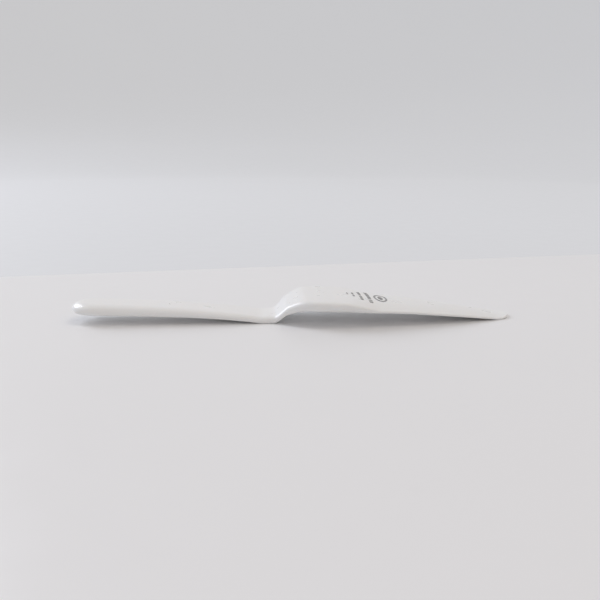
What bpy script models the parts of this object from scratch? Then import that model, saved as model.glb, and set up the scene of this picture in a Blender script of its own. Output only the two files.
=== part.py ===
"""Cranked paper folder: one moulded plastic tool with a few plain pad-printed marks on its blade.

Frame: +X runs along the tool to the blade's tip, +Y across it, +Z up from the table it rests on.
The origin is at the middle of the tool's box, on the table. Sizes below are in millimetres, and
MM turns them into metres where a mesh is made.
"""

import math

import bmesh
import bpy

MM = 0.001

# ---- plan view ----------------------------------------------------------------------------------
LENGTH = 180.0
HANDLE_HALF_WIDTH = 9.5
BLADE_HALF_WIDTH = 17.2
TIP_RADIUS = 8.0
HANDLE_END = -LENGTH / 2
TIP = LENGTH / 2
CRANK_START = -17.0
FLARE_START = -11.0  # the handle widens into the blade from here
FLARE_END = 9.0
TAPER_START = 25.0  # the blade narrows to its tip from here
TAPER_SLOPE_AT_START = -0.09
TIP_SIDE_ANGLE = math.radians(13.0)  # the blade's side against X where it meets the tip's circle

# ---- side view: (x, value) stations that a smooth curve passes through ---------------------------
UNDERSIDE = (
    (-90.0, 4.2), (-60.0, 3.35), (-44.0, 2.75), (-31.0, 1.9), (-19.0, 0.7), (-13.0, 0.0), (-9.0, 0.0),
    (-3.0, 4.0), (4.5, 6.1), (22.0, 5.8), (42.0, 4.9), (64.0, 2.6), (79.0, 0.7), (85.0, 0.0), (90.0, 0.3),
)
THICKNESS = (
    (-90.0, 4.0), (-60.0, 3.6), (-44.0, 3.15), (-31.0, 2.75), (-16.0, 2.5), (-9.0, 2.8), (-3.0, 3.7),
    (4.5, 4.3), (22.0, 3.95), (30.0, 3.2), (42.0, 2.4), (64.0, 1.8), (79.0, 1.35), (90.0, 0.9),
)
# Height of the side wall: the top face falls to it from the middle.
EDGE = (
    (-90.0, 3.75), (-60.0, 3.4), (-31.0, 2.6), (-16.0, 2.35), (-9.0, 2.6), (-3.0, 3.4), (4.5, 3.95),
    (20.0, 3.6), (27.0, 2.2), (34.0, 0.9), (50.0, 0.75), (90.0, 0.7),
)

# ---- cross-section ------------------------------------------------------------------------------
CROWN_POWER = 2.4
# Rounding along the rims: TOP_CORNER is the top corner's height, TOP_SPREAD its width over its height.
TOP_CORNER = (
    (-90.0, 2.7), (-60.0, 2.5), (-31.0, 1.8), (-14.0, 1.5), (-4.0, 1.7),
    (5.0, 2.1), (19.0, 2.0), (33.0, 0.35), (90.0, 0.3),
)
TOP_SPREAD = ((-90.0, 1.7), (-40.0, 1.8), (-14.0, 1.6), (-4.0, 1.2), (5.0, 1.0), (90.0, 1.0))
UNDER_CORNER = ((-90.0, 0.6), (-14.0, 0.5), (-4.0, 0.9), (5.0, 1.7), (19.0, 1.5), (33.0, 0.25), (90.0, 0.25))

# ---- printed marks: (name, centre x, centre y, half size in x, half size in y) --------------------
INK_GAP = 0.06
INK_THICKNESS = 0.08
BARS = (
    ("print_bar_1", 30.6, 2.4, 0.75, 6.8),
    ("print_bar_2", 30.6, -7.6, 0.75, 2.0),
    ("print_bar_3", 27.2, 3.6, 0.6, 3.4),
    ("print_bar_4", 27.2, -4.0, 0.6, 3.2),
    ("print_bar_5", 24.3, 2.6, 0.45, 1.5),
    ("print_bar_6", 24.3, -1.6, 0.45, 1.5),
    ("print_bar_7", 22.0, 1.6, 0.35, 1.7),
)
OVAL_CENTRE = (35.6, -0.6)
OVAL_OUTER = (2.8, 5.8)
OVAL_INNER = (1.9, 4.4)
OVAL_CORE = (1.0, 3.0)

# ---- mesh density ---------------------------------------------------------------------------------
END_STEPS = 12
HANDLE_STEPS = 13
CRANK_STEPS = 22
ROOT_STEPS = 6
TAPER_STEPS = 20
TIP_STEPS = 9
CORNER_STEPS = 4
SPAN_STEPS = 6


def cubic(start, end, start_slope, end_slope, x):
    """Value at x of the cubic that leaves and reaches its (x, value) ends with these slopes."""
    step = end[0] - start[0]
    t = (x - start[0]) / step
    rise = (3 - 2 * t) * t * t
    lead = t * (1 - t) ** 2 * step * start_slope
    trail = t * t * (1 - t) * step * end_slope
    return start[1] + (end[1] - start[1]) * rise + lead - trail


def through(stations, x):
    """Value at x of the curve through (x, value) stations, which never overshoots one."""
    if x <= stations[0][0]:
        return stations[0][1]
    if x >= stations[-1][0]:
        return stations[-1][1]
    slopes = [(b[1] - a[1]) / (b[0] - a[0]) for a, b in zip(stations, stations[1:])]

    def slope_at(i):
        before = slopes[max(i - 1, 0)]
        after = slopes[min(i, len(slopes) - 1)]
        return 2 * before * after / (before + after) if before * after > 0 else 0.0

    i = next(k for k in range(len(slopes)) if x <= stations[k + 1][0])
    return cubic(stations[i], stations[i + 1], slope_at(i), slope_at(i + 1), x)


def taper_end():
    """Point where the blade's side meets the circle of its tip."""
    x = TIP - TIP_RADIUS + TIP_RADIUS * math.sin(TIP_SIDE_ANGLE)
    return x, TIP_RADIUS * math.cos(TIP_SIDE_ANGLE)


def side_width(x):
    """Half width of the tool at x, as if neither end were rounded."""
    if x <= TAPER_START:
        t = min(max((x - FLARE_START) / (FLARE_END - FLARE_START), 0.0), 1.0)
        return HANDLE_HALF_WIDTH + (BLADE_HALF_WIDTH - HANDLE_HALF_WIDTH) * t * t * (3 - 2 * t)
    end = taper_end()
    end_slope = -math.tan(TIP_SIDE_ANGLE)
    if x >= end[0]:
        return end[1] + end_slope * (x - end[0])
    return cubic((TAPER_START, BLADE_HALF_WIDTH), end, TAPER_SLOPE_AT_START, end_slope, x)


def top_height(x, y):
    """Height of the crowned top face at (x, y)."""
    thickness = through(THICKNESS, x)
    crown = (thickness - through(EDGE, x)) * abs(y / side_width(x)) ** CROWN_POWER
    return through(UNDERSIDE, x) + thickness - crown


def evenly(start, end, steps):
    return [start + (end - start) * i / steps for i in range(1, steps + 1)]


def outline():
    """Half of the plan outline, y >= 0, from the handle's end to the tip."""
    handle_centre = HANDLE_END + HANDLE_HALF_WIDTH
    tip_centre = TIP - TIP_RADIUS
    points = []
    for i in range(END_STEPS + 1):
        turn = math.pi / 2 * i / END_STEPS
        x = handle_centre - HANDLE_HALF_WIDTH * math.cos(turn)
        points.append((x, HANDLE_HALF_WIDTH * math.sin(turn)))
    sides = evenly(handle_centre, CRANK_START, HANDLE_STEPS)
    sides += evenly(CRANK_START, FLARE_END, CRANK_STEPS)
    sides += evenly(FLARE_END, TAPER_START, ROOT_STEPS)
    sides += evenly(TAPER_START, taper_end()[0], TAPER_STEPS)
    points += [(x, side_width(x)) for x in sides]
    for turn in evenly(math.pi / 2 - TIP_SIDE_ANGLE, 0.0, TIP_STEPS):
        x = tip_centre + TIP_RADIUS * math.cos(turn)
        points.append((x, TIP_RADIUS * math.sin(turn)))
    return points


def inward(points, i):
    """Unit vector from outline point i into the tool."""
    if i == 0:
        return 1.0, 0.0
    if i == len(points) - 1:
        return -1.0, 0.0
    along_x = points[i + 1][0] - points[i - 1][0]
    along_y = points[i + 1][1] - points[i - 1][1]
    length = math.hypot(along_x, along_y)
    return along_y / length, -along_x / length


def section(x, y, into):
    """Points of one half section, from the underside's middle over the rim to the top's middle."""
    radius_under = through(UNDER_CORNER, x)
    radius_top = through(TOP_CORNER, x)
    spread = radius_top * through(TOP_SPREAD, x)

    def inset(distance):
        return x + into[0] * distance, max(y + into[1] * distance, 0.0)

    ring = []
    foot = inset(radius_under)
    for i in range(SPAN_STEPS // 2):
        share = i / (SPAN_STEPS // 2)
        ring.append((foot[0], foot[1] * share, through(UNDERSIDE, foot[0])))
    for i in range(CORNER_STEPS + 1):
        turn = math.pi / 2 * i / CORNER_STEPS
        px, py = inset(radius_under * (1 - math.sin(turn)))
        ring.append((px, py, through(UNDERSIDE, px) + radius_under * (1 - math.cos(turn))))
    for i in range(CORNER_STEPS + 1):
        turn = math.pi / 2 * i / CORNER_STEPS
        px, py = inset(spread * (1 - math.cos(turn)))
        ring.append((px, py, top_height(px, py) - radius_top * (1 - math.sin(turn))))
    shoulder = inset(spread)
    for i in range(1, SPAN_STEPS + 1):
        py = shoulder[1] * (1 - i / SPAN_STEPS)
        ring.append((shoulder[0], py, top_height(shoulder[0], py)))
    return ring


def new_object(name, mesh, material, collection):
    obj = bpy.data.objects.new(name, mesh)
    obj.data.materials.append(material)
    collection.objects.link(obj)
    return obj


def mesh_from(bm, name, smooth_below=math.radians(35)):
    mesh = bpy.data.meshes.new(name)
    bm.to_mesh(mesh)
    bm.free()
    mesh.shade_smooth()
    mesh.set_sharp_from_angle(angle=smooth_below)
    return mesh


def make_body(material, collection):
    """The moulding: a loft along X of one half, mirrored about the middle."""
    points = outline()
    bm = bmesh.new()
    rings = []
    for i, (x, y) in enumerate(points):
        ring = section(x, y, inward(points, i))
        rings.append([bm.verts.new((px * MM, py * MM, pz * MM)) for px, py, pz in ring])
    for ring, following in zip(rings, rings[1:]):
        for j in range(len(ring) - 1):
            bm.faces.new((ring[j], ring[j + 1], following[j + 1], following[j]))
    bmesh.ops.remove_doubles(bm, verts=bm.verts, dist=0.001 * MM)
    bmesh.ops.recalc_face_normals(bm, faces=bm.faces)
    body = new_object("folder_body", mesh_from(bm, "folder_body"), material, collection)
    mirror = body.modifiers.new("mirror", "MIRROR")
    mirror.use_axis = (False, True, False)
    mirror.use_clip = True
    mirror.merge_threshold = 0.002 * MM
    return body


def lay_on_blade(bm, centre):
    """Moves a flat mesh drawn in millimetres about its own middle onto the blade's top face."""
    for vert in bm.verts:
        x = centre[0] + vert.co.x
        y = centre[1] + vert.co.y
        vert.co = (x * MM, y * MM, (top_height(x, y) + INK_GAP) * MM)


def make_mark(name, bm, centre, material, collection):
    lay_on_blade(bm, centre)
    mark = new_object(name, mesh_from(bm, name), material, collection)
    ink = mark.modifiers.new("ink", "SOLIDIFY")
    ink.thickness = INK_THICKNESS * MM
    ink.offset = 1.0
    return mark


def make_bar(name, x, y, half_x, half_y, material, collection):
    bm = bmesh.new()
    steps = max(2, round(half_y))
    bmesh.ops.create_grid(bm, x_segments=2, y_segments=steps, size=1.0)
    bmesh.ops.scale(bm, vec=(half_x, half_y, 1.0), verts=bm.verts)
    return make_mark(name, bm, (x, y), material, collection)


def ellipse(bm, half_sizes, filled):
    made = bmesh.ops.create_circle(bm, cap_ends=filled, cap_tris=filled, segments=32, radius=1.0)
    bmesh.ops.scale(bm, vec=(half_sizes[0], half_sizes[1], 1.0), verts=made["verts"])


def make_oval(material, collection):
    bm = bmesh.new()
    ellipse(bm, OVAL_OUTER, filled=False)
    ellipse(bm, OVAL_INNER, filled=False)
    bmesh.ops.bridge_loops(bm, edges=bm.edges)
    bmesh.ops.recalc_face_normals(bm, faces=bm.faces)
    face_up(bm)
    make_mark("print_oval", bm, OVAL_CENTRE, material, collection)
    bm = bmesh.new()
    ellipse(bm, OVAL_CORE, filled=True)
    face_up(bm)
    make_mark("print_oval_core", bm, OVAL_CENTRE, material, collection)


def face_up(bm):
    bm.normal_update()
    downward = [face for face in bm.faces if face.normal.z < 0]
    bmesh.ops.reverse_faces(bm, faces=downward)


def plain_material(name, colour, roughness):
    material = bpy.data.materials.new(name)
    material.use_nodes = True
    shader = material.node_tree.nodes["Principled BSDF"]
    shader.inputs["Base Color"].default_value = (*colour, 1.0)
    shader.inputs["Roughness"].default_value = roughness
    shader.inputs["Metallic"].default_value = 0.0
    return material


def main():
    for obj in list(bpy.data.objects):
        bpy.data.objects.remove(obj, do_unlink=True)
    parts = bpy.data.collections.new("paper_folder")
    bpy.context.scene.collection.children.link(parts)
    white_plastic = plain_material("white_plastic", (0.84, 0.83, 0.81), 0.28)
    grey_ink = plain_material("grey_ink", (0.10, 0.10, 0.11), 0.55)
    make_body(white_plastic, parts)
    for bar in BARS:
        make_bar(*bar, grey_ink, parts)
    make_oval(grey_ink, parts)


main()
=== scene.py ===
"""Looks for the cranked paper folder: a fine moulding, its printed marks, a pale table and soft light.

Sizes of the tool are in millimetres, as the CAD part gives them, and MM turns them into metres.
"""

import math

import bmesh
import bpy
from mathutils import Matrix, Vector


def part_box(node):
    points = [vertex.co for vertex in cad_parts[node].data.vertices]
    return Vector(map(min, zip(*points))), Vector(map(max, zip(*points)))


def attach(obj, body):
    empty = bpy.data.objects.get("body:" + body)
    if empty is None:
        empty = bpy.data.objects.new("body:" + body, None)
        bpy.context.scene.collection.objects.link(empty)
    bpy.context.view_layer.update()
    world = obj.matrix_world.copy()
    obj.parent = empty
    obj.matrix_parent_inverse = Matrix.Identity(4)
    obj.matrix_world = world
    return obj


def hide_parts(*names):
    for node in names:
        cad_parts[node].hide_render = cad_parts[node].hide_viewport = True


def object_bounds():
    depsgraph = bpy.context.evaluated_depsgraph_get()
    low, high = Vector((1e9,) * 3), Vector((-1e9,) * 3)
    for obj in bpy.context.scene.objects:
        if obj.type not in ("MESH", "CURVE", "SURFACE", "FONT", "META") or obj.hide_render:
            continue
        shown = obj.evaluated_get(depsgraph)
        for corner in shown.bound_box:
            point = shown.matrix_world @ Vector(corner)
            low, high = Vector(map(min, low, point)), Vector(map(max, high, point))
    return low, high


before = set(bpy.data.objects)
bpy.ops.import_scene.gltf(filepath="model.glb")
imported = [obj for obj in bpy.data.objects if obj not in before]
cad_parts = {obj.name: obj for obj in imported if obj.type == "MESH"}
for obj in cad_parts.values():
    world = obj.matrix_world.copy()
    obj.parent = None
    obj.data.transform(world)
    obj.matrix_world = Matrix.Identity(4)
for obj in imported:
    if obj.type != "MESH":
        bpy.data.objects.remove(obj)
CAD_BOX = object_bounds()

MM = 0.001
ROOT = "root"
FLOOR_Z = CAD_BOX[0].z

# ---- the moulding, as the CAD part gives it --------------------------------------------------------
LENGTH = 180.0
HANDLE_HALF_WIDTH = 9.5
BLADE_HALF_WIDTH = 17.2
TIP_RADIUS = 8.0
HANDLE_END = -LENGTH / 2
TIP = LENGTH / 2
CRANK_START = -17.0
FLARE_START = -11.0
FLARE_END = 9.0
TAPER_START = 25.0
TAPER_SLOPE_AT_START = -0.09
TIP_SIDE_ANGLE = math.radians(13.0)
UNDERSIDE = (
    (-90.0, 4.2), (-60.0, 3.35), (-44.0, 2.75), (-31.0, 1.9), (-19.0, 0.7), (-13.0, 0.0), (-9.0, 0.0),
    (-3.0, 4.0), (4.5, 6.1), (22.0, 5.8), (42.0, 4.9), (64.0, 2.6), (79.0, 0.7), (85.0, 0.0), (90.0, 0.3),
)
THICKNESS = (
    (-90.0, 4.0), (-60.0, 3.6), (-44.0, 3.15), (-31.0, 2.75), (-16.0, 2.5), (-9.0, 2.8), (-3.0, 3.7),
    (4.5, 4.3), (22.0, 3.95), (30.0, 3.2), (42.0, 2.4), (64.0, 1.8), (79.0, 1.35), (90.0, 0.9),
)
EDGE = (
    (-90.0, 3.75), (-60.0, 3.4), (-31.0, 2.6), (-16.0, 2.35), (-9.0, 2.6), (-3.0, 3.4), (4.5, 3.95),
    (20.0, 3.6), (27.0, 2.2), (34.0, 0.9), (50.0, 0.75), (90.0, 0.7),
)
CROWN_POWER = 2.4
TOP_CORNER = (
    (-90.0, 2.7), (-60.0, 2.5), (-31.0, 1.8), (-14.0, 1.5), (-4.0, 1.7),
    (5.0, 2.1), (19.0, 2.0), (33.0, 0.35), (90.0, 0.3),
)
TOP_SPREAD = ((-90.0, 1.7), (-40.0, 1.8), (-14.0, 1.6), (-4.0, 1.2), (5.0, 1.0), (90.0, 1.0))
UNDER_CORNER = ((-90.0, 0.6), (-14.0, 0.5), (-4.0, 0.9), (5.0, 1.7), (19.0, 1.5), (33.0, 0.25), (90.0, 0.25))

# ---- mould marks -----------------------------------------------------------------------------------
SEAM_PROUD = 0.03  # the parting line stands this far out of the side wall
SEAM_HALF_HEIGHT = 0.05
PIN_RADIUS = 2.2
PIN_DEPTH = 0.07
PIN_EDGE = 0.7  # width of the slope round a pin mark
PINS = ((-78.0, 0.0), (-40.0, 0.0), (12.0, 9.5), (46.0, 6.0))
GATE_X = -84.5
GATE_RADIUS = 2.0  # outer edge of the gate's dish
GATE_EDGE = 1.1
GATE_DEPTH = 0.22
VESTIGE_RADIUS = 0.75  # the stub of the cut gate in the middle of the dish
VESTIGE_EDGE = 0.5
VESTIGE_SHARE = 0.8  # its height over the dish's depth

# ---- mesh density ----------------------------------------------------------------------------------
END_STEPS = 44
HANDLE_STEPS = 110
CRANK_STEPS = 72
ROOT_STEPS = 34
TAPER_STEPS = 110
TIP_STEPS = 36
CORNER_STEPS = 7
UNDER_STEPS = 26
TOP_STEPS = 26
WELD = 0.001 * MM
SLIVER = 0.0005 * MM
SMOOTH_BELOW = 30  # degrees: a sharper edge stays an edge
INK_SMOOTH_BELOW = 40


def cubic(start, end, start_slope, end_slope, x):
    """Value at x of the cubic that leaves and reaches its (x, value) ends with these slopes."""
    step = end[0] - start[0]
    t = (x - start[0]) / step
    rise = (3 - 2 * t) * t * t
    lead = t * (1 - t) ** 2 * step * start_slope
    trail = t * t * (1 - t) * step * end_slope
    return start[1] + (end[1] - start[1]) * rise + lead - trail


def through(stations, x):
    """Value at x of the curve through (x, value) stations, which never overshoots one."""
    if x <= stations[0][0]:
        return stations[0][1]
    if x >= stations[-1][0]:
        return stations[-1][1]
    slopes = [(b[1] - a[1]) / (b[0] - a[0]) for a, b in zip(stations, stations[1:])]

    def slope_at(i):
        before = slopes[max(i - 1, 0)]
        after = slopes[min(i, len(slopes) - 1)]
        return 2 * before * after / (before + after) if before * after > 0 else 0.0

    i = next(k for k in range(len(slopes)) if x <= stations[k + 1][0])
    return cubic(stations[i], stations[i + 1], slope_at(i), slope_at(i + 1), x)


def smooth(t):
    """Rises from 0 to 1 as t does, level at both ends."""
    t = min(max(t, 0.0), 1.0)
    return t * t * (3 - 2 * t)


def taper_end():
    """Point where the blade's side meets the circle of its tip."""
    x = TIP - TIP_RADIUS + TIP_RADIUS * math.sin(TIP_SIDE_ANGLE)
    return x, TIP_RADIUS * math.cos(TIP_SIDE_ANGLE)


def side_width(x):
    """Half width of the tool at x, as if neither end were rounded."""
    if x <= TAPER_START:
        share = smooth((x - FLARE_START) / (FLARE_END - FLARE_START))
        return HANDLE_HALF_WIDTH + (BLADE_HALF_WIDTH - HANDLE_HALF_WIDTH) * share
    end = taper_end()
    end_slope = -math.tan(TIP_SIDE_ANGLE)
    if x >= end[0]:
        return end[1] + end_slope * (x - end[0])
    return cubic((TAPER_START, BLADE_HALF_WIDTH), end, TAPER_SLOPE_AT_START, end_slope, x)


def top_height(x, y):
    """Height of the crowned top face at (x, y)."""
    thickness = through(THICKNESS, x)
    crown = (thickness - through(EDGE, x)) * abs(y / side_width(x)) ** CROWN_POWER
    return through(UNDERSIDE, x) + thickness - crown


def under_height(x, y):
    """Height of the underside, with the shallow round marks of the mould's pins and its gate."""
    height = through(UNDERSIDE, x)
    for pin_x, pin_y in PINS:
        away = math.hypot(x - pin_x, y - pin_y)
        height += PIN_DEPTH * smooth((PIN_RADIUS + PIN_EDGE / 2 - away) / PIN_EDGE)
    away = math.hypot(x - GATE_X, y)
    height += GATE_DEPTH * smooth((GATE_RADIUS - away) / GATE_EDGE)
    height -= VESTIGE_SHARE * GATE_DEPTH * smooth((VESTIGE_RADIUS - away) / VESTIGE_EDGE)
    return height


def evenly(start, end, steps):
    return [start + (end - start) * i / steps for i in range(1, steps + 1)]


def outline():
    """Half of the plan outline, y >= 0, from the handle's end to the tip."""
    handle_centre = HANDLE_END + HANDLE_HALF_WIDTH
    tip_centre = TIP - TIP_RADIUS
    points = []
    for i in range(END_STEPS + 1):
        turn = math.pi / 2 * i / END_STEPS
        x = handle_centre - HANDLE_HALF_WIDTH * math.cos(turn)
        points.append((x, HANDLE_HALF_WIDTH * math.sin(turn)))
    sides = evenly(handle_centre, CRANK_START, HANDLE_STEPS)
    sides += evenly(CRANK_START, FLARE_END, CRANK_STEPS)
    sides += evenly(FLARE_END, TAPER_START, ROOT_STEPS)
    sides += evenly(TAPER_START, taper_end()[0], TAPER_STEPS)
    points += [(x, side_width(x)) for x in sides]
    for turn in evenly(math.pi / 2 - TIP_SIDE_ANGLE, 0.0, TIP_STEPS):
        points.append((tip_centre + TIP_RADIUS * math.cos(turn), TIP_RADIUS * math.sin(turn)))
    return points


def inward(points, i):
    """Unit vector from outline point i into the tool."""
    if i == 0:
        return 1.0, 0.0
    if i == len(points) - 1:
        return -1.0, 0.0
    along_x = points[i + 1][0] - points[i - 1][0]
    along_y = points[i + 1][1] - points[i - 1][1]
    length = math.hypot(along_x, along_y)
    return along_y / length, -along_x / length


def section(x, y, into):
    """Points of one half section, from the underside's middle over the rim to the top's middle."""
    radius_under = through(UNDER_CORNER, x)
    radius_top = through(TOP_CORNER, x)
    spread = radius_top * through(TOP_SPREAD, x)

    def inset(distance):
        distance += SEAM_PROUD
        return x + into[0] * distance, max(y + into[1] * distance, 0.0)

    ring = []
    foot = inset(radius_under)
    for i in range(UNDER_STEPS):
        py = foot[1] * i / UNDER_STEPS
        ring.append((foot[0], py, under_height(foot[0], py)))
    for i in range(CORNER_STEPS + 1):
        turn = math.pi / 2 * i / CORNER_STEPS
        px, py = inset(radius_under * (1 - math.sin(turn)))
        ring.append((px, py, through(UNDERSIDE, px) + radius_under * (1 - math.cos(turn))))
    wall_foot = ring[-1][2]
    wall_top = top_height(*inset(0.0)) - radius_top
    seam = (wall_foot + wall_top) / 2
    half_height = min(SEAM_HALF_HEIGHT, (wall_top - wall_foot) * 0.4)
    for proud, rise in ((0.0, -half_height), (1.0, 0.0), (0.0, half_height)):
        px, py = inset(-SEAM_PROUD * proud)
        ring.append((px, py, seam + rise))
    for i in range(CORNER_STEPS + 1):
        turn = math.pi / 2 * i / CORNER_STEPS
        px, py = inset(spread * (1 - math.cos(turn)))
        ring.append((px, py, top_height(px, py) - radius_top * (1 - math.sin(turn))))
    shoulder = inset(spread)
    for i in range(1, TOP_STEPS + 1):
        py = shoulder[1] * (1 - i / TOP_STEPS)
        ring.append((shoulder[0], py, top_height(shoulder[0], py)))
    return ring


def new_piece(name, bm, material, smooth_below):
    mesh = bpy.data.meshes.new(name)
    bm.to_mesh(mesh)
    bm.free()
    mesh.shade_smooth()
    mesh.set_sharp_from_angle(angle=math.radians(smooth_below))
    mesh.materials.append(material)
    piece = bpy.data.objects.new(name, mesh)
    bpy.context.scene.collection.objects.link(piece)
    return piece


def make_body(material):
    """The moulding: a fine loft along X of both halves, welded along the middle."""
    points = outline()
    bm = bmesh.new()
    for side in (1, -1):
        rings = []
        for i, (x, y) in enumerate(points):
            ring = section(x, y, inward(points, i))
            rings.append([bm.verts.new((px * MM, side * py * MM, pz * MM)) for px, py, pz in ring])
        for ring, following in zip(rings, rings[1:]):
            for j in range(len(ring) - 1):
                bm.faces.new((ring[j], ring[j + 1], following[j + 1], following[j]))
    bmesh.ops.remove_doubles(bm, verts=bm.verts, dist=WELD)
    bmesh.ops.dissolve_degenerate(bm, edges=bm.edges, dist=SLIVER)
    bmesh.ops.recalc_face_normals(bm, faces=bm.faces)
    return new_piece("moulded_body", bm, material, SMOOTH_BELOW)


# ---- printed marks ---------------------------------------------------------------------------------
INK_PROUD = 0.025
INK_SUNK = 0.03
BLOCK_GAP = 0.55  # the gap between two blocks of a row, over the row's half width
BLOCK_STEP = 0.35
BLOCK_ROUNDNESS = 0.3
RING_WIDTH = (0.85, 1.35)  # the oval ring's width in x and in y
RING_STEPS = 4
RING_SIDES = 72
# Lengths of the blocks in each row, as parts of the row.
ROW_BLOCKS = {
    1: (3.0, 2.0, 4.2, 2.4, 1.6),
    2: (1.0, 1.6),
    3: (1.5, 2.6, 1.4),
    4: (2.2, 1.2, 2.0),
    5: (1.0, 1.4),
    6: (1.6, 0.9),
    7: (1.3, 1.0),
}


def ink_sheet(bm, grid, wrap=False):
    """A thin closed layer of ink on the blade over a grid of (x, y) points.

    wrap joins the grid's first and last columns.
    """
    layers = []
    for lift in (INK_PROUD, -INK_SUNK):
        layers.append([
            [bm.verts.new((x * MM, y * MM, (top_height(x, y) + lift) * MM)) for x, y in row] for row in grid
        ])
    columns = len(grid[0])
    pairs = [(j, (j + 1) % columns) for j in range(columns if wrap else columns - 1)]
    for layer in layers:
        for row, following in zip(layer, layer[1:]):
            for j, k in pairs:
                bm.faces.new((row[j], row[k], following[k], following[j]))
    for i in (0, len(grid) - 1):
        for j, k in pairs:
            bm.faces.new((layers[0][i][j], layers[0][i][k], layers[1][i][k], layers[1][i][j]))
    if not wrap:
        for j in (0, columns - 1):
            for i in range(len(grid) - 1):
                bm.faces.new((layers[0][i][j], layers[0][i + 1][j], layers[1][i + 1][j], layers[1][i][j]))


def rounded_grid(centre, half_x, half_y, roundness, steps_x, steps_y):
    """Grid over a block whose corners are pulled in: roundness 1 makes it an ellipse."""
    grid = []
    for i in range(steps_x + 1):
        u = 2 * i / steps_x - 1
        row = []
        for j in range(steps_y + 1):
            v = 2 * j / steps_y - 1
            x = u * math.sqrt(1 - roundness * v * v / 2) * half_x
            y = v * math.sqrt(1 - roundness * u * u / 2) * half_y
            row.append((centre[0] + x, centre[1] + y))
        grid.append(row)
    return grid


def ink_piece(name, node, bm, material):
    bmesh.ops.recalc_face_normals(bm, faces=bm.faces)
    piece = new_piece(name, bm, material, INK_SMOOTH_BELOW)
    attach(piece, ROOT)
    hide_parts(node)


def ink_row(name, node, shares, material):
    """Plain blocks of ink in a row over a CAD bar. shares are the blocks' lengths, as parts of the row."""
    low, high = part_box(node)
    centre_x = (low.x + high.x) / 2 / MM
    half_x = (high.x - low.x) / 2 / MM
    gap = BLOCK_GAP * half_x
    room = (high.y - low.y) / MM - gap * (len(shares) - 1)
    y = high.y / MM
    bm = bmesh.new()
    for share in shares:
        length = room * share / sum(shares)
        centre = (centre_x, y - length / 2)
        steps = max(4, round(length / BLOCK_STEP))
        ink_sheet(bm, rounded_grid(centre, half_x, length / 2, BLOCK_ROUNDNESS, 4, steps))
        y -= length + gap
    ink_piece(name, node, bm, material)


def ink_ovals(material):
    """The oval ring and the plain oval inside it, over the CAD's two ovals."""
    low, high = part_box("print_oval")
    centre = ((low.x + high.x) / 2 / MM, (low.y + high.y) / 2 / MM)
    outer = ((high.x - low.x) / 2 / MM, (high.y - low.y) / 2 / MM)
    inner = (outer[0] - RING_WIDTH[0], outer[1] - RING_WIDTH[1])
    bm = bmesh.new()
    grid = []
    for i in range(RING_STEPS + 1):
        share = i / RING_STEPS
        row = []
        for j in range(RING_SIDES):
            turn = 2 * math.pi * j / RING_SIDES
            x = (outer[0] + (inner[0] - outer[0]) * share) * math.cos(turn)
            y = (outer[1] + (inner[1] - outer[1]) * share) * math.sin(turn)
            row.append((centre[0] + x, centre[1] + y))
        grid.append(row)
    ink_sheet(bm, grid, wrap=True)
    ink_piece("ink_oval", "print_oval", bm, material)
    low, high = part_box("print_oval_core")
    bm = bmesh.new()
    half = ((high.x - low.x) / 2 / MM, (high.y - low.y) / 2 / MM)
    ink_sheet(bm, rounded_grid(centre, half[0], half[1], 1.0, 10, 24))
    ink_piece("ink_oval_core", "print_oval_core", bm, material)


# ---- materials -------------------------------------------------------------------------------------
class Nodes:
    """Short calls for building a material's nodes."""

    def __init__(self, name):
        self.material = bpy.data.materials.new(name)
        self.material.use_nodes = True
        self.tree = self.material.node_tree
        self.shader = self.tree.nodes["Principled BSDF"]

    def add(self, kind, **values):
        node = self.tree.nodes.new(kind)
        for key, value in values.items():
            setattr(node, key, value)
        return node

    def link(self, source, target):
        self.tree.links.new(source, target)

    def place(self, scale):
        """Position on the object, in metres, times a scale for each axis."""
        mapping = self.add("ShaderNodeMapping")
        mapping.inputs["Scale"].default_value = scale
        self.link(self.add("ShaderNodeTexCoord").outputs["Object"], mapping.inputs["Vector"])
        return mapping.outputs["Vector"]

    def noise(self, scale, detail=3.0, roughness=0.5, stretch=(1, 1, 1)):
        noise = self.add("ShaderNodeTexNoise")
        noise.inputs["Scale"].default_value = scale
        noise.inputs["Detail"].default_value = detail
        noise.inputs["Roughness"].default_value = roughness
        self.link(self.place(stretch), noise.inputs["Vector"])
        return noise.outputs["Fac"]

    def ranged(self, value, low, high, to_low, to_high):
        node = self.add("ShaderNodeMapRange")
        self.link(value, node.inputs["Value"])
        for name, number in (("From Min", low), ("From Max", high), ("To Min", to_low), ("To Max", to_high)):
            node.inputs[name].default_value = number
        return node.outputs["Result"]

    def math(self, operation, first, second):
        node = self.add("ShaderNodeMath", operation=operation)
        for socket, value in zip(node.inputs, (first, second)):
            if isinstance(value, (int, float)):
                socket.default_value = value
            else:
                self.link(value, socket)
        return node.outputs["Value"]

    def mix(self, share, first, second):
        node = self.add("ShaderNodeMix", data_type="RGBA")
        self.link(share, node.inputs["Factor"])
        for socket, colour in ((node.inputs[6], first), (node.inputs[7], second)):
            if isinstance(colour, tuple):
                socket.default_value = (*colour, 1.0)
            else:
                self.link(colour, socket)
        return node.outputs[2]

    def bump(self, height, strength, distance):
        node = self.add("ShaderNodeBump")
        node.inputs["Strength"].default_value = strength
        node.inputs["Distance"].default_value = distance
        self.link(height, node.inputs["Height"])
        return node.outputs["Normal"]

    def feed(self, base_color, roughness, normal):
        """Links the three sockets that vary over the surface."""
        self.link(base_color, self.shader.inputs["Base Color"])
        self.link(roughness, self.shader.inputs["Roughness"])
        self.link(normal, self.shader.inputs["Normal"])


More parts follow.
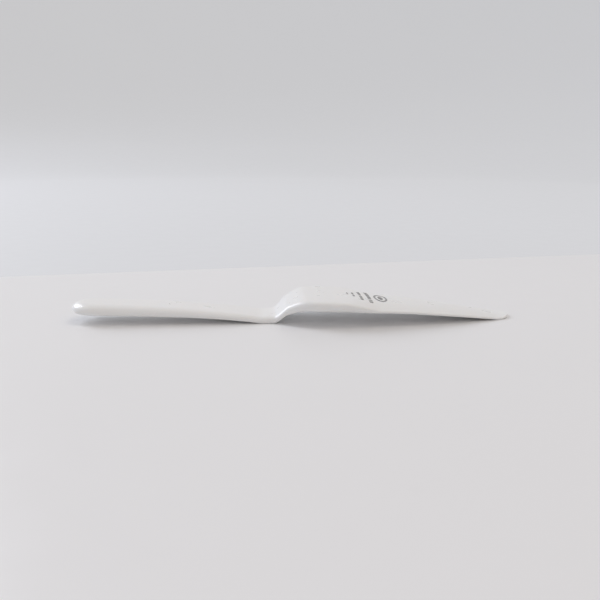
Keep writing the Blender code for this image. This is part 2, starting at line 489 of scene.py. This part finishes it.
def make_plastic():
    """White moulded plastic: slight colour flow, fine specks, uneven gloss and faint rubbing."""
    n = Nodes("white_plastic_fine")
    flow = n.noise(55, detail=4, stretch=(0.35, 1, 1))
    colour = n.mix(n.ranged(flow, 0.35, 0.7, 0, 1), (0.885, 0.881, 0.872), (0.868, 0.863, 0.852))
    specks = n.ranged(n.noise(2300, detail=2), 0.74, 0.80, 0, 0.12)
    colour = n.mix(specks, colour, (0.66, 0.63, 0.58))
    hairlines = n.ranged(n.noise(9, detail=3, stretch=(3, 420, 3)), 0.62, 0.72, 0, 1)
    cross = n.ranged(n.noise(11, detail=2, stretch=(190, 40, 4)), 0.67, 0.77, 0, 0.6)
    scratches = n.math("MAXIMUM", hairlines, cross)
    rub = n.ranged(n.noise(130, detail=3, roughness=0.5), 0.3, 0.75, 0.27, 0.32)
    roughness = n.math("ADD", rub, n.math("MULTIPLY", scratches, 0.02))
    skin = n.bump(n.noise(90, detail=1), 0.02, 0.00005)
    n.feed(colour, roughness, skin)
    n.shader.inputs["IOR"].default_value = 1.49
    n.shader.inputs["Subsurface Weight"].default_value = 0.12
    n.shader.inputs["Subsurface Scale"].default_value = 0.0015
    n.shader.inputs["Subsurface Radius"].default_value = (1.0, 0.9, 0.8)
    return n.material


def make_ink():
    """Grey pad print with pores and worn patches."""
    n = Nodes("grey_ink_fine")
    pores = n.ranged(n.noise(3400, detail=3, roughness=0.6), 0.52, 0.62, 0, 1)
    worn = n.ranged(n.noise(420, detail=2), 0.42, 0.66, 0, 0.75)
    bare = n.math("MAXIMUM", pores, worn)
    colour = n.mix(bare, (0.15, 0.15, 0.158), (0.50, 0.495, 0.49))
    roughness = n.ranged(n.noise(1800, detail=2), 0.3, 0.7, 0.42, 0.6)
    n.feed(colour, roughness, n.bump(pores, -0.4, 0.00001))
    return n.material


def make_paper(name, colour, darker, gloss_low, glow=0.0):
    """Pale paper with soft clouds and smudges. glow lifts its shade evenly."""
    n = Nodes(name)
    cloud = n.ranged(n.noise(5, detail=4), 0.3, 0.7, 0, 1)
    tone = n.mix(cloud, colour, darker)
    smudge = n.ranged(n.noise(26, detail=2), 0.70, 0.80, 0, 0.5)
    tone = n.mix(smudge, tone, tuple(0.94 * c for c in darker))
    grain = n.bump(n.noise(1400, detail=3), 0.08, 0.00004)
    gloss = n.ranged(n.noise(90, detail=3), 0.3, 0.7, gloss_low, gloss_low + 0.06)
    n.feed(tone, gloss, grain)
    n.shader.inputs["Emission Strength"].default_value = glow
    n.shader.inputs["Emission Color"].default_value = (0.98, 0.99, 1.0, 1.0)
    return n.material


# ---- table, backdrop and light, in metres ----------------------------------------------------------
BOARD_BACK = (CAD_BOX[1].x - CAD_BOX[0].x) * 2 / 3  # the table board ends this far behind the tool's middle
BOARD_HALF = 0.45
BOARD_CELLS = 40
BOARD_TURN = math.radians(10.0)
BOARD_DROP = 0.0004  # the ground lies this far under the board's face
SWEEP_RINGS = 64
SWEEP_STEP = 0.0375
SWEEP_SIDES = 96
# (radius, height) stations of the ground as it curves up.
SWEEP = ((0.0, 0.0), (0.6, 0.0), (1.05, 0.0), (1.4, 0.05), (1.8, 0.18), (2.1, 0.42), (2.25, 0.7), (2.4, 1.15))


def make_board(material):
    """The table board, which stops behind the tool and is turned a little."""
    bm = bmesh.new()
    made = bmesh.ops.create_grid(bm, x_segments=BOARD_CELLS, y_segments=BOARD_CELLS, size=BOARD_HALF)
    turn = Matrix.Rotation(BOARD_TURN, 4, "Z")
    back = Vector((0.0, BOARD_BACK, 0.0)) - (turn @ Vector((0.0, BOARD_HALF, 0.0)))
    placed = Matrix.Translation(back + Vector((0, 0, FLOOR_Z))) @ turn
    bmesh.ops.transform(bm, verts=made["verts"], matrix=placed)
    board = new_piece("table_board", bm, material, SMOOTH_BELOW)


def make_sweep(material):
    """The ground under the board, which curves up into a backdrop on every side."""
    bm = bmesh.new()
    rings = []
    turns = [2 * math.pi * k / SWEEP_SIDES for k in range(SWEEP_SIDES)]
    for i in range(1, SWEEP_RINGS + 1):
        radius = i * SWEEP_STEP
        z = through(SWEEP, radius) + FLOOR_Z - BOARD_DROP
        rings.append([bm.verts.new((radius * math.cos(turn), radius * math.sin(turn), z)) for turn in turns])
    middle = bm.verts.new((0.0, 0.0, FLOOR_Z - BOARD_DROP))
    for k in range(SWEEP_SIDES):
        bm.faces.new((middle, rings[0][k], rings[0][(k + 1) % SWEEP_SIDES]))
    for ring, following in zip(rings, rings[1:]):
        for k in range(SWEEP_SIDES):
            m = (k + 1) % SWEEP_SIDES
            bm.faces.new((ring[k], following[k], following[m], ring[m]))
    bmesh.ops.recalc_face_normals(bm, faces=bm.faces)
    new_piece("backdrop_sweep", bm, material, 60)


def make_light(name, place, size, power, colour, spread=180.0):
    """A round lamp aimed at the origin. A spread under 180 degrees keeps its light off what is beside it."""
    light = bpy.data.lights.new(name, "AREA")
    light.shape = "DISK"
    light.size = size
    light.energy = power
    light.spread = math.radians(spread)
    light.color = colour
    lamp = bpy.data.objects.new(name, light)
    lamp.location = place
    lamp.rotation_euler = (-Vector(place)).to_track_quat("-Z", "Y").to_euler()
    lamp.visible_camera = False
    bpy.context.scene.collection.objects.link(lamp)


WORLD_BLEND = 0.8  # along each axis the two sides' colours blend from minus this to plus this
WORLD_BACK = (1.0, 1.0, 1.0)


def make_world(left, right, front, strength):
    """Soft light from all round: cooler from the left, and brighter from the front than from behind."""
    world = bpy.data.worlds.new("soft_room")
    bpy.context.scene.world = world
    world.use_nodes = True
    tree = world.node_tree
    background = tree.nodes["Background"]
    background.inputs["Strength"].default_value = strength
    place = tree.nodes.new("ShaderNodeTexCoord")
    split = tree.nodes.new("ShaderNodeSeparateXYZ")
    tree.links.new(place.outputs["Generated"], split.inputs["Vector"])

    def across(axis, low, high):
        node = tree.nodes.new("ShaderNodeMapRange")
        node.inputs["From Min"].default_value = -WORLD_BLEND
        node.inputs["From Max"].default_value = WORLD_BLEND
        blend = tree.nodes.new("ShaderNodeMix")
        blend.data_type = "RGBA"
        tree.links.new(split.outputs[axis], node.inputs["Value"])
        tree.links.new(node.outputs["Result"], blend.inputs["Factor"])
        blend.inputs[6].default_value = (*low, 1.0)
        blend.inputs[7].default_value = (*high, 1.0)
        return blend.outputs[2]

    product = tree.nodes.new("ShaderNodeMix")
    product.data_type = "RGBA"
    product.blend_type = "MULTIPLY"
    product.inputs["Factor"].default_value = 1.0
    tree.links.new(across("X", left, right), product.inputs[6])
    tree.links.new(across("Y", front, WORLD_BACK), product.inputs[7])
    tree.links.new(product.outputs[2], background.inputs["Color"])


# ---- camera ----------------------------------------------------------------------------------------
CAMERA_ELEVATION = math.radians(13.0)
CAMERA_AZIMUTH = math.radians(4.0)
CAMERA_ROLL = math.radians(0.35)
CAMERA_DISTANCE = 0.291
CAMERA_LENS = 42.0
AIM_RIGHT = 0.0023  # the view's middle, right of and above the middle of the tool's box on the table
AIM_UP = 0.0073


def make_camera():
    """The camera, almost square to the tool's side and a little above it."""
    back = Vector((
        -math.sin(CAMERA_AZIMUTH) * math.cos(CAMERA_ELEVATION),
        -math.cos(CAMERA_AZIMUTH) * math.cos(CAMERA_ELEVATION),
        math.sin(CAMERA_ELEVATION),
    ))
    level = Vector((math.cos(CAMERA_AZIMUTH), -math.sin(CAMERA_AZIMUTH), 0.0))
    right = level * math.cos(CAMERA_ROLL) + back.cross(level) * math.sin(CAMERA_ROLL)
    up = back.cross(right)
    data = bpy.data.cameras.new("camera")
    data.sensor_width = 36.0
    data.lens = CAMERA_LENS
    data.clip_start = 0.001
    data.clip_end = 20.0
    camera = bpy.data.objects.new("camera", data)
    turn = Matrix((right, up, back)).transposed().to_4x4()
    middle = (CAD_BOX[0] + CAD_BOX[1]) / 2
    origin = Vector((middle.x, middle.y, FLOOR_Z))
    turn.translation = origin + back * CAMERA_DISTANCE + right * AIM_RIGHT + up * AIM_UP
    camera.matrix_world = turn
    bpy.context.scene.collection.objects.link(camera)
    bpy.context.scene.camera = camera


# ---- build -----------------------------------------------------------------------------------------
plastic = make_plastic()
ink = make_ink()
body = make_body(plastic)
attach(body, ROOT)
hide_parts("folder_body")
for number, shares in ROW_BLOCKS.items():
    ink_row(f"ink_row_{number}", f"print_bar_{number}", shares, ink)
ink_ovals(ink)

make_board(make_paper("table_paper", (0.86, 0.855, 0.86), (0.85, 0.845, 0.85), 0.28))
make_sweep(make_paper("backdrop_paper", (0.23, 0.23, 0.25), (0.225, 0.225, 0.245), 0.65, 0.43))
make_world((0.86, 0.91, 1.06), (1.06, 0.97, 0.86), (1.38, 1.32, 1.24), 0.47)
make_light("window", (-1.2, 1.0, 0.9), 1.0, 6.9, (0.91, 0.96, 1.05), spread=120.0)
make_light("ceiling", (0.70, 0.25, 1.8), 1.1, 5.0, (1.0, 0.96, 0.88))
make_camera()
bpy.context.scene.view_settings.view_transform = "Standard"
